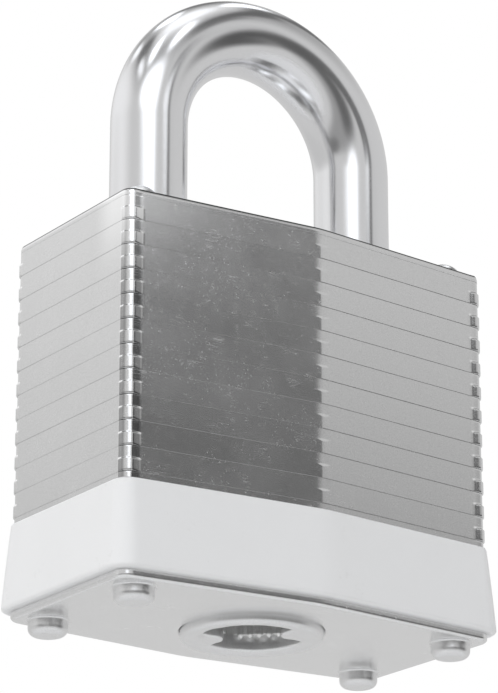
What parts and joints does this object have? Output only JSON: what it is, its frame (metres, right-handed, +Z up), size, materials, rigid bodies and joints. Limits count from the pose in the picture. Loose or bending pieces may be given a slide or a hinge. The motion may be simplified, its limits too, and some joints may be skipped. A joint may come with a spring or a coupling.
{
  "type": "laminated padlock",
  "caption": "Padlock with a body of stacked steel plates riveted together, a round steel shackle that lifts, a white plastic bumper round the foot and a warded keyhole underneath.",
  "frame": {"origin": "middle of the flat bottoms of the four lower rivet heads, at the foot of the lock", "axes": "+Z up through the shackle, +X along the width towards the toe leg of the shackle, -Y towards the front"},
  "size_m": [0.0466, 0.0268, 0.0702],
  "materials": {
    "laminated_steel": "bright zinc-plated sheet, fine speckle, light handling scuffs",
    "plate_steel": "satin zinc-plated, faint reflections",
    "ward_steel": "plain stamped steel",
    "rivet_steel": "satin zinc-plated, rounded edges",
    "shackle_steel": "polished, lightly scuffed along its length",
    "bumper_plastic": "matte white with a fine moulded grain",
    "spring_steel": "plain drawn wire",
    "lever_steel": "plain stamped steel"
  },
  "bodies": {
    "body": {"bottom_plate": "plate_steel", "keyhole_collar": "plate_steel", "ward_plate": "ward_steel", "lamination_01": "laminated_steel", "lamination_02": "laminated_steel", "lamination_03": "laminated_steel", "lamination_04": "laminated_steel", "lamination_05": "laminated_steel", "lamination_06": "laminated_steel", "lamination_07": "laminated_steel", "lamination_08": "laminated_steel", "lamination_09": "laminated_steel", "lamination_10": "laminated_steel", "lamination_11": "laminated_steel", "lamination_12": "laminated_steel", "lamination_13": "laminated_steel", "lamination_14": "laminated_steel", "top_cover": "laminated_steel", "bumper": "bumper_plastic", "rivets": "rivet_steel", "shackle_spring": "spring_steel", "shackle_retainer": "lever_steel", "lever_pin": "rivet_steel", "lever_spring": "spring_steel"},
    "shackle": {"shackle": "shackle_steel"},
    "front_lever": {"front_locking_lever": "lever_steel"},
    "rear_lever": {"rear_locking_lever": "lever_steel"}
  },
  "joints": [
    {"name": "shackle_lift", "type": "slide", "parent": "body", "child": "shackle", "axis": [0, 0, 1], "range_m": [0, 0.0136], "deforming": ["shackle_spring"]},
    {"name": "front_lever_swing", "type": "hinge", "parent": "body", "child": "front_lever", "pos_m": [-0.0189, 0, 0.0308], "axis": [0, 0, 1], "range_deg": [0, 3], "deforming": ["lever_spring"]},
    {"name": "rear_lever_swing", "type": "hinge", "parent": "body", "child": "rear_lever", "pos_m": [-0.0189, 0, 0.0321], "axis": [0, 0, 1], "range_deg": [-3, 0]}
  ],
  "couplings": [
    {"joint": "rear_lever_swing", "follows": "front_lever_swing", "ratio": -1}
  ]
}
